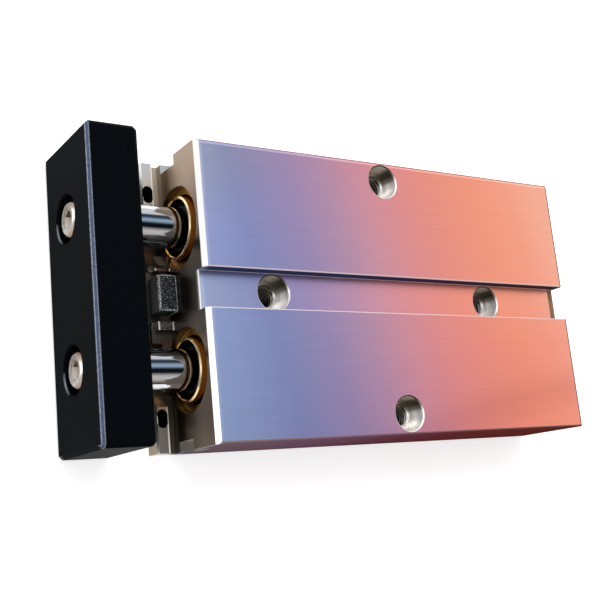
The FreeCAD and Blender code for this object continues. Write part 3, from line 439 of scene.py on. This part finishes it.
def black_anodised_plate():
    """Aluminium bead-blasted and anodised black: satin, with a very fine even grain, and blue-grey painted
    highlights on its front edges and on the mouths of its holes."""
    material, tree, shader = finish("anodised_aluminium_black", "07090b", 0.0, 0.42, specular=0.004)
    # Blasting leaves dents of about 0.05 mm, too fine to show, so these are over twice as coarse
    blast = grain(tree, 0.12, 2.0)
    coords = add(tree, "ShaderNodeTexCoord").outputs
    facing = add(tree, SPLIT, [coords["Normal"]]).outputs
    place = add(tree, SPLIT, [coords["Object"]]).outputs

    slanted = zone(tree, (facing["X"], 0.3, 0.9))
    inner = zone(tree, (place["Z"], 2 * MM, TOP))
    outer = add(tree, MATH, [1.0, inner], operation="SUBTRACT")
    across_edge = {"Value": place["X"], "From Min": PLATE_FRONT - 0.7 * MM, "From Max": PLATE_FRONT}
    edge_highlight_bands = add(tree, RAMP, [add(tree, RANGE, across_edge)], stops=[
        (0.00, "20242c"), (0.14, "848da2"), (0.30, "545c70"), (0.68, "505a6e"), (0.84, "98a2ba"),
        (1.00, "2c323c"),
    ])
    # The painted edge highlight is broken into specks of about 0.4 mm, drawn at that size
    speckle = add(tree, RANGE, {"Value": grain(tree, 0.4, 4.0), "To Min": 0.1, "To Max": 1.8})
    edge_highlight_bands = add(tree, VECTOR, {0: edge_highlight_bands, "Scale": speckle}, operation="SCALE")

    # Painted highlight on the chamfered mouths of the front's holes, where they face up and toward -Y.
    lower_left = add(tree, MATH, [facing["Y"], -0.5, facing["Z"]], operation="MULTIPLY_ADD")
    lit = add(tree, RANGE, {"Value": lower_left, "From Min": 0.66, "From Max": 0.84})
    mouths = zone(tree, (place["X"], PLATE_FRONT - 0.28 * MM, None), inner, slanted, lit)
    skin = add(tree, RAMP, [blast], stops=[(0.3, "05070a"), (0.7, "0a0d11")])
    feed(tree, shader, {
        "Base Color": painted(tree, skin, (zone(tree, slanted, outer), edge_highlight_bands), (mouths, "8e939c")),
        "Roughness": add(tree, RANGE, {"Value": blast, "To Min": 0.36, "To Max": 0.5}),
        "Normal": add(tree, "ShaderNodeBump", {"Height": blast, "Distance": 0.01 * MM}),
    })
    return material


def chromed_rod_steel():
    """Steel ground and hard chromed: a mirror with the faintest rings left by the grinding wheel."""
    material, tree, shader = finish("hard_chrome_ground", "c9cbce", 1.0, 0.07)
    # The wheel's marks are about 0.01 mm apart, too fine to show, so these are five times as coarse
    rings = grain(tree, 0.05, 2.0, place=lathe_place(tree))
    feed(tree, shader, {
        "Roughness": add(tree, RANGE, {"Value": rings, "To Min": 0.05, "To Max": 0.1}),
        "Normal": add(tree, "ShaderNodeBump", {"Height": rings, "Distance": 0.0006 * MM}),
    })
    return material


def turned_metal(name, dark, light, roughness):
    """Metal turned on a lathe: fine rings round its axis, which show as a soft fan of light."""
    material, tree, shader = finish(name, light, 1.0, roughness)
    # The rings are as far apart as the tool moves in a turn, 0.08 mm, drawn at that size
    rings = grain(tree, 0.08, 3.0, place=lathe_place(tree))
    spread = {"Value": rings, "To Min": roughness - 0.05, "To Max": roughness + 0.08}
    feed(tree, shader, {
        "Base Color": add(tree, RAMP, [rings], stops=[(0.3, dark), (0.7, light)]),
        "Roughness": add(tree, RANGE, spread),
        "Normal": add(tree, "ShaderNodeBump", {"Height": rings, "Distance": 0.003 * MM}),
    })
    return material


def turned_bronze_gland():
    """Bronze turned on a lathe: fine rings, painted shade low on the face and painted highlight high up, a
    painted highlight round the nose, and painted shade inside it."""
    material, tree, shader = finish("bronze_turned", "d99a48", 1.0, 0.17)
    place = lathe_place(tree)
    turned = add(tree, SPLIT, [place]).outputs
    # The rings are as far apart as the tool moves in a turn, 0.08 mm, drawn at that size
    rings = grain(tree, 0.08, 3.0, place=place)
    coords = add(tree, "ShaderNodeTexCoord").outputs
    height = add(tree, SPLIT, [coords["Object"]]).outputs["Z"]
    height = add(tree, RANGE, {"Value": height, "From Min": 3 * MM, "From Max": 17 * MM})

    cut = add(tree, RAMP, [rings], stops=[(0.3, "a0681f"), (0.7, "d99a48")])
    # Painted shade low on the gland and painted highlight high on it, set by height.
    height_shade = add(tree, RAMP, [height], stops=[
        (0.20, "4a3e2e"), (0.55, "564834"), (0.78, "f4e4cc"), (1.00, "ffffff"),
    ])
    # Painted highlight on the nose's front ring, brightest high up.
    nose_highlight = add(tree, RAMP, [height], stops=[(0.10, "c08a44"), (0.50, "dca860"), (0.85, "ffe6b8")])
    # Inside the nose it is painted near-black: painted shade.
    feed(tree, shader, {
        "Base Color": painted(
            tree, add(tree, VECTOR, [cut, height_shade], operation="MULTIPLY"),
            (zone(tree, (turned["X"], FRONT + 0.06 * MM, None)), nose_highlight),
            (zone(tree, (turned["Y"], None, NOSE_INSIDE + 0.03 * MM)), "1c140a"),
        ),
        "Metallic": add(tree, RANGE, {"Value": height, "From Min": 0.6, "From Max": 0.85,
                                      "To Min": 1.0, "To Max": 0.6}),
        "Roughness": add(tree, RANGE, {"Value": rings, "To Min": 0.12, "To Max": 0.25}),
        "Normal": add(tree, "ShaderNodeBump", {"Height": rings, "Distance": 0.003 * MM}),
    })
    return material


def clouded_metal(name, dark, light, roughness):
    """Plated or freshly cut metal: an even bright skin, slightly clouded."""
    material, tree, shader = finish(name, light, 1.0, roughness)
    # The skin clouds over patches of about 0.6 mm, drawn at that size
    cloud = grain(tree, 0.6, 4.0)
    spread = {"Value": cloud, "To Min": roughness - 0.06, "To Max": roughness + 0.08}
    feed(tree, shader, {
        "Base Color": add(tree, RAMP, [cloud], stops=[(0.3, dark), (0.7, light)]),
        "Roughness": add(tree, RANGE, spread),
    })
    return material


def nickel_plated_screw():
    """Cold headed steel, nickel plated: a bright skin a little clouded, with painted shade across the head
    and painted highlight and shade round its rim, and a socket whose left walls carry a painted highlight
    while its right ones are painted brown as shade."""
    material, tree, shader = finish("nickel_plated_steel", "a8a094", 1.0, 0.24)
    # The plating clouds over patches of about 0.9 mm, drawn at that size
    cloud = grain(tree, 0.9, 4.0)
    coords = add(tree, "ShaderNodeTexCoord").outputs
    facing = add(tree, SPLIT, [coords["Normal"]]).outputs
    turned = add(tree, SPLIT, [lathe_place(tree)]).outputs
    side = add(tree, SPLIT, [coords["Object"]]).outputs["Y"]
    hand = add(tree, MATH, [side], operation="SIGN")
    across = add(tree, MATH, [hand, -AXIS_OUT, side], operation="MULTIPLY_ADD")
    across = add(tree, RANGE, {"Value": across, "From Min": -3.4 * MM, "From Max": 3.4 * MM})
    leaning = add(tree, RANGE, {"Value": facing["Y"], "From Min": -1})

    skin = add(tree, RAMP, [cloud], stops=[(0.36, "97928b"), (0.62, "cfccc7")])
    # Painted shade across the head: darker toward -Y, lighter toward +Y.
    head_shade = add(tree, RAMP, [across], stops=[(0.1, "8a847c"), (0.45, "b0aca6"), (0.9, "dcdcdc")])
    skin = add(tree, VECTOR, [skin, head_shade], operation="MULTIPLY")
    # Painted highlight and shade round the head's rim, set by which way it faces.
    rim = add(tree, RAMP, [leaning], stops=[
        (0.20, "5e4c40"), (0.36, "a08c7c"), (0.44, "ffffff"), (0.55, "ffffff"), (0.64, "a29890"),
        (0.85, "8a7868"),
    ])
    # Painted highlight on the socket walls facing one way, painted brown shade on those facing the other.
    wall = add(tree, RAMP, [leaning], stops=[
        (0.45, "ffffff"), (0.60, "e8e0d6"), (0.80, "8a725c"), (0.97, "4a3426"),
    ])
    socket_inside = painted(tree, wall, (zone(tree, (facing["X"], 0.7, None)), "c4b09a"))
    in_socket = zone(tree, (turned["Y"], None, 1.76 * MM), (turned["X"], None, PLATE_FRONT - 0.55 * MM))
    feed(tree, shader, {
        "Base Color": painted(tree, skin, (zone(tree, (turned["Y"], 2.8 * MM, None)), rim),
                              (in_socket, socket_inside)),
        "Metallic": add(tree, RANGE, {"Value": in_socket, "To Min": 1.0, "To Max": 0.25}),
        "Roughness": add(tree, RANGE, {"Value": cloud, "To Min": 0.18, "To Max": 0.32}),
    })
    return material


def moulded(name, dark, light, roughness, grit_mm, depth_mm):
    """Moulded rubber or resin: no metal, an even fine grit from the mould. Real grit is about 0.05 mm,
    too fine to show, so grit_mm is some times as coarse."""
    material, tree, shader = finish(name, light, 0.0, roughness, specular=0.15)
    grit = grain(tree, grit_mm, 3.0)
    feed(tree, shader, {
        "Base Color": add(tree, RAMP, [grit], stops=[(0.35, dark), (0.65, light)]),
        "Roughness": add(tree, RANGE, {"Value": grit, "To Min": roughness - 0.1, "To Max": roughness + 0.1}),
        "Normal": add(tree, "ShaderNodeBump", {"Height": grit, "Distance": depth_mm * MM}),
    })
    return material


def gritty_urethane():
    """Urethane moulded in a rough cavity: black with pale grit, the grit painted darker on the front face as
    shade and paler along the edges as highlight.
    """
    material, tree, shader = finish("urethane_moulded_gritty", "141517", 0.0, 0.55, specular=0.12)
    # The grit is about 0.1 mm, too fine to show, so this is over twice as coarse
    grit = grain(tree, 0.26, 4.0)
    coords = add(tree, "ShaderNodeTexCoord").outputs
    facing = add(tree, SPLIT, [coords["Normal"]]).outputs
    place = add(tree, SPLIT, [coords["Object"]]).outputs
    flecks = add(tree, RAMP, [grit], stops=[
        (0.42, "0d0e10"), (0.52, "1e2023"), (0.60, "4c5055"), (0.68, "9a9ea4"),
    ])
    # Painted shade: darker grit on the front face. Painted highlight: paler grit on the slanted edges and
    # along the rear.
    front_shade_flecks = add(tree, RAMP, [grit], stops=[(0.50, "0a0b0d"), (0.62, "191b1e"), (0.72, "3c3f44")])
    edge_highlight_flecks = add(tree, RAMP, [grit], stops=[(0.36, "2a2b2d"), (0.48, "9a9da0"), (0.60, "e4e6e8")])
    front = zone(tree, (facing["X"], 0.9, None))
    slanted = zone(tree, (facing["Z"], 0.3, 0.9))
    rear = zone(tree, (place["X"], None, FRONT + 0.45 * MM))
    feed(tree, shader, {
        "Base Color": painted(tree, flecks, (front, front_shade_flecks), (union(tree, slanted, rear), edge_highlight_flecks)),
        "Roughness": add(tree, RANGE, {"Value": grit, "To Min": 0.35, "To Max": 0.7}),
        "Normal": add(tree, "ShaderNodeBump", {"Height": grit, "Distance": 0.06 * MM}),
    })
    return material


# The tapped threads are painted darker than the milled metal round them: painted shade of the holes' depth.
CUT_THREAD = clouded_metal("aluminium_tapped", "5f5b54", "7c776f", 0.3)
FINISHES = {
    "anodised_block": brushed_anodised_block(),
    "stop_rubber": gritty_urethane(),
    "black_plate": black_anodised_plate(),
    "nickel_screw": nickel_plated_screw(),
    "chromed_rod": chromed_rod_steel(),
    "bronze_gland": turned_bronze_gland(),
    "ring_steel": clouded_metal("yellow_zinc_plated_spring_steel", "a06a1c", "cf9a3c", 0.25),
    "seal_rubber": moulded("nitrile_rubber_moulded", "0b0b0b", "161616", 0.5, 0.2, 0.01),
    "bushing_metal": turned_metal("bronze_sintered", "6b4a2a", "8f6a41", 0.4),
    "bumper_urethane": moulded("urethane_moulded", "1b1c20", "2a2b30", 0.4, 0.3, 0.01),
    "piston_alloy": turned_metal("aluminium_turned", "a9abae", "cfd1d4", 0.25),
    "wear_ring_resin": moulded("acetal_moulded", "a8a295", "b8b2a6", 0.45, 0.3, 0.01),
    "magnet_ferrite": moulded("ferrite_bonded", "191919", "262626", 0.5, 0.2, 0.02),
    "nut_steel": clouded_metal("zinc_plated_steel", "9a9c9e", "c0c2c4", 0.3),
    "cap_alloy": turned_metal("aluminium_turned_clear_anodised", "a2a5a8", "c5c8cb", 0.28),
}
for piece in frame["record"]["subparts"]:
    materials = frame["nodes"][piece["node"]].data.materials
    materials.clear()
    materials.append(FINISHES[piece["material_slot"]])


# ---------------------------------------------------------------- plate screws

KNURLS = 44                 # grooves round a screw's head
KNURL_DEPTH = 0.13          # these and the next are in mm
HEAD_ABOVE = 0.5            # how much taller a head is than the CAD's
HEAD_HEIGHT = 4.5
HEAD_RADIUS = 3.46
SHANK_RADIUS = 1.98
SHANK_END = 18.5
FLATS = 3.0                 # the hexagon key that fits the socket
SOCKET_DEPTH = 1.3
TIP = 0.02                  # radius of the small faces that close the surface on its axis


def screw_head_surface(centre):
    """Rings of points, from the socket's floor out over the head, its knurled side and down the shank."""
    crown = SCREWS_HIGH[0] / MM + HEAD_ABOVE
    profile = [
        # depth under the crown, radius, and what shapes that ring
        (SOCKET_DEPTH + 0.3, TIP, "round"), (SOCKET_DEPTH, FLATS / 2, "hex"),
        (0.30, FLATS / 2, "hex"), (0.28, FLATS / 2, "hex"),
        (0.02, 2.02, "round"), (0.00, 2.06, "round"), (0.00, 2.78, "round"), (0.03, 2.86, "round"),
        (0.44, 3.36, "round"), (0.52, 3.43, "round"),
        (0.64, HEAD_RADIUS, "round"), (0.74, HEAD_RADIUS, "knurl"),
        (HEAD_HEIGHT - 0.20, HEAD_RADIUS, "knurl"), (HEAD_HEIGHT - 0.05, HEAD_RADIUS - 0.06, "round"),
        (HEAD_HEIGHT, HEAD_RADIUS - 0.12, "round"), (HEAD_HEIGHT, SHANK_RADIUS + 0.04, "round"),
        (HEAD_HEIGHT + 0.05, SHANK_RADIUS, "round"), (SHANK_END - 0.3, SHANK_RADIUS, "round"),
        (SHANK_END, SHANK_RADIUS - 0.28, "round"), (SHANK_END, TIP, "round"),
    ]
    steps_per_knurl = 3
    count = KNURLS * steps_per_knurl
    points = []
    for depth, radius, shape in profile:
        for step in range(count):
            angle = math.tau * step / count
            reach = radius
            if shape == "hex":
                reach = radius / math.cos((angle % (math.pi / 3)) - math.pi / 6)
            if shape == "knurl" and step % steps_per_knurl == 0:
                reach = radius - KNURL_DEPTH
            points.append(((crown - depth) * MM, centre[0] + reach * math.cos(angle) * MM,
                           centre[1] + reach * math.sin(angle) * MM))
    faces = []
    for row in range(len(profile) - 1):
        for step in range(count):
            here, there = row * count + step, row * count + (step + 1) % count
            faces.append((here, there, there + count, here + count))
    last = (len(profile) - 1) * count
    faces.append(tuple(reversed(range(count))))
    faces.append(tuple(range(last, last + count)))
    return points, faces


def make_plate_screws():
    """The two socket head cap screws, with a knurled side and a bevelled hexagon socket."""
    radius = (SCREWS_HIGH[2] - SCREWS_LOW[2]) / 2
    height = (SCREWS_HIGH[2] + SCREWS_LOW[2]) / 2
    points, faces = [], []
    for across in (SCREWS_LOW[1] + radius, SCREWS_HIGH[1] - radius):
        more, shape = screw_head_surface((across, height))
        faces += [tuple(index + len(points) for index in face) for face in shape]
        points += more
    mesh = bpy.data.meshes.new("socket_head_screws")
    mesh.from_pydata(points, [], faces)
    mesh.validate()
    form = bmesh.new()
    form.from_mesh(mesh)
    bmesh.ops.recalc_face_normals(form, faces=form.faces)
    form.to_mesh(mesh)
    form.free()
    screws = bpy.data.objects.new("socket_head_screws", mesh)
    scene.collection.objects.link(screws)
    mesh.materials.append(FINISHES["nickel_screw"])
    mesh.shade_smooth()
    mesh.set_sharp_from_angle(angle=math.radians(28))
    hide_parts("plate_screws")
    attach(screws, "carriage")


# ---------------------------------------------------------------- threads

def thread_tree():
    """One screw thread at each point: a ridge wound round the point's own axis."""
    tree = bpy.data.node_groups.new("screw_thread", "GeometryNodeTree")
    face = tree.interface
    face.new_socket("Holes", in_out="INPUT", socket_type="NodeSocketGeometry")
    for name in ("Radius", "Pitch", "Turns", "Ridge"):
        face.new_socket(name, in_out="INPUT", socket_type="NodeSocketFloat")
    face.new_socket("Tilt", in_out="INPUT", socket_type="NodeSocketVector")
    face.new_socket("Finish", in_out="INPUT", socket_type="NodeSocketMaterial")
    face.new_socket("Threads", in_out="OUTPUT", socket_type="NodeSocketGeometry")
    given = add(tree, "NodeGroupInput").outputs
    height = add(tree, MATH, [given["Pitch"], given["Turns"]], operation="MULTIPLY")
    helix = add(tree, "GeometryNodeCurveSpiral", {
        "Resolution": 36, "Rotations": given["Turns"], "Start Radius": given["Radius"],
        "End Radius": given["Radius"], "Height": height,
    })
    level = add(tree, "GeometryNodeSetCurveNormal", {"Curve": helix}, mode="Z_UP")
    section = add(tree, "GeometryNodeCurvePrimitiveCircle", {"Resolution": 4, "Radius": given["Ridge"]})
    ridge = add(tree, "GeometryNodeCurveToMesh", {
        "Curve": level, "Profile Curve": section, "Fill Caps": True,
    })
    placed = add(tree, "GeometryNodeInstanceOnPoints", {
        "Points": given["Holes"], "Instance": ridge, "Rotation": given["Tilt"],
    })
    real = add(tree, "GeometryNodeRealizeInstances", {"Geometry": placed})
    done = add(tree, "GeometryNodeSetMaterial", {"Geometry": real, "Material": given["Finish"]})
    add(tree, "NodeGroupOutput", {"Threads": done})
    return tree


def make_threads(name, tree, starts, length, tilt=(0, 0, 0)):
    """Threads of some length that start at the given points, in holes of the cylinder's body."""
    seed_mesh = bpy.data.meshes.new(name)
    seed_mesh.from_pydata(starts, [], [])
    seed = bpy.data.objects.new(f"{name}_starts", seed_mesh)
    scene.collection.objects.link(seed)
    modifier = seed.modifiers.new("thread", "NODES")
    modifier.node_group = tree
    values = {"Radius": THREAD_RADIUS, "Pitch": THREAD_PITCH, "Turns": length / THREAD_PITCH,
              "Ridge": 0.42 * THREAD_PITCH, "Tilt": tilt, "Finish": CUT_THREAD}
    for item in tree.interface.items_tree:
        if item.in_out == "INPUT" and item.name in values:
            modifier[item.identifier] = values[item.name]
    evaluated = seed.evaluated_get(bpy.context.evaluated_depsgraph_get())
    mesh = bpy.data.meshes.new_from_object(evaluated)
    bpy.data.objects.remove(seed)
    threads = bpy.data.objects.new(name, mesh)
    scene.collection.objects.link(threads)
    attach(threads, "cylinder")


def make_all_threads():
    """The threads of the four mounting holes and of the two air ports."""
    tree = thread_tree()
    foot = 0.6 * MM
    port_foot = 6.2 * MM - HALF_WIDTH
    in_groove = [(HOLES_ALONG, 0, foot), (-HOLES_ALONG, 0, foot)]
    beside_it = [(0, HOLES_ACROSS, foot), (0, -HOLES_ACROSS, foot)]
    ports = [(along, port_foot, AXIS_UP) for along in PORTS_ALONG]
    make_threads("groove_hole_threads", tree, in_groove, 12.32 * MM)
    make_threads("side_hole_threads", tree, beside_it, 15.28 * MM)
    make_threads("port_threads", tree, ports, 5.6 * MM, tilt=(math.pi / 2, 0, 0))


# ---------------------------------------------------------------- camera and studio

WHITE = [1, 1, 1, 1]
MIDDLE = Vector((10, 0, 10)) * MM       # what the lamps look at, near the middle of the part


def make_camera():
    """A camera in front of the part and above it, turned so that the rods point left."""
    place = Vector((130.3, 42.8, 178.8)) * MM
    ahead = Vector((-0.544, -0.209, -0.813)).normalized()
    upward = Vector((0.035, -0.973, 0.227))
    right = ahead.cross(upward).normalized()
    upward = right.cross(ahead)
    turn = Matrix((right, upward, -ahead)).transposed()
    data = bpy.data.cameras.new("camera")
    data.sensor_width = 36
    data.lens = 60.23
    camera = bpy.data.objects.new("camera", data)
    scene.collection.objects.link(camera)
    camera.matrix_world = Matrix.Translation(place) @ turn.to_4x4()
    scene.camera = camera


def seen_directly(tree):
    """1 for what the camera sees straight, in metal or through glass, and 0 for light that falls on
    things; and 1 for what is seen in metal alone."""
    path = add(tree, "ShaderNodeLightPath").outputs
    seen = union(tree, path["Is Camera Ray"], path["Is Glossy Ray"], path["Is Transmission Ray"])
    return seen, path["Is Glossy Ray"]


def make_world():
    """White all round, with long strips of light and shade beside the part that only metal shows."""
    world = bpy.data.worlds.new("studio")
    scene.world = world
    world.use_nodes = True
    tree = world.node_tree
    tree.nodes.clear()
    seen, in_metal = seen_directly(tree)
    coords = add(tree, "ShaderNodeTexCoord").outputs
    toward = add(tree, SPLIT, [coords["Generated"]]).outputs
    turn = add(tree, MATH, [toward["Y"], toward["Z"]], operation="ARCTAN2")
    turn = add(tree, RANGE, {"Value": turn, "From Min": -math.pi, "From Max": math.pi})
    strips = add(tree, RAMP, [turn], stops=[
        (0.250, "e8e8ea"), (0.270, "ffffff"), (0.346, "f6f8fb"), (0.374, "4a5664"), (0.392, "2a3440"),
        (0.408, "3c4e62"), (0.428, "8098b0"), (0.456, "b8d0e6"), (0.482, "8098ac"), (0.506, "18222c"),
        (0.530, "0c1014"), (0.560, "121415"), (0.586, "9a9896"), (0.614, "dcd6d2"), (0.652, "e4dcd8"),
        (0.690, "c4b8b2"), (0.720, "766a62"), (0.745, "50463e"), (0.760, "403834"),
    ])
    beside = zone(tree, (toward["X"], -0.52, 0.08))
    room = painted(tree, WHITE, (beside, strips))
    shown = painted(tree, WHITE, (in_metal, room))
    fill = add(tree, "ShaderNodeBackground", {"Color": WHITE, "Strength": 0.7})
    backdrop = add(tree, "ShaderNodeBackground", {"Color": shown, "Strength": 1.0})
    both = add(tree, "ShaderNodeMixShader", [seen, fill, backdrop])
    add(tree, "ShaderNodeOutputWorld", {"Surface": both})


def make_floor():
    """A wide pale floor under the part, of matt white card: no shine, and only a soft shadow on it."""
    reach = 4.0
    mesh = bpy.data.meshes.new("floor")
    mesh.from_pydata([(-reach, -reach, FLOOR), (reach, -reach, FLOOR), (reach, reach, FLOOR),
                      (-reach, reach, FLOOR)], [], [(0, 1, 2, 3)])
    floor = bpy.data.objects.new("floor", mesh)
    scene.collection.objects.link(floor)
    material, tree, shader = finish("white_card", "ffffff", 0.0, 0.9, specular=0.0)
    seen, _ = seen_directly(tree)
    card = painted(tree, "c8c8c8", (seen, "ffffff"))
    feed(tree, shader, {"Base Color": card, "Emission Strength": seen, "Emission Color": "b0b0b0"})
    mesh.materials.append(material)


def softbox(name, place_mm, size_mm, power):
    """A square soft white light, turned toward the part."""
    lamp = bpy.data.lights.new(name, "AREA")
    lamp.size = size_mm * MM
    lamp.energy = power
    box = bpy.data.objects.new(name, lamp)
    scene.collection.objects.link(box)
    box.location = Vector(place_mm) * MM
    box.rotation_euler = (MIDDLE - box.location).to_track_quat("-Z", "Y").to_euler()


make_plate_screws()
make_all_threads()
scene.view_settings.view_transform = "Standard"
make_camera()
make_world()
make_floor()
softbox("key_light", place_mm=(60, -300, 460), size_mm=340, power=1.6)
softbox("fill_light", place_mm=(330, 60, 160), size_mm=200, power=0.1)
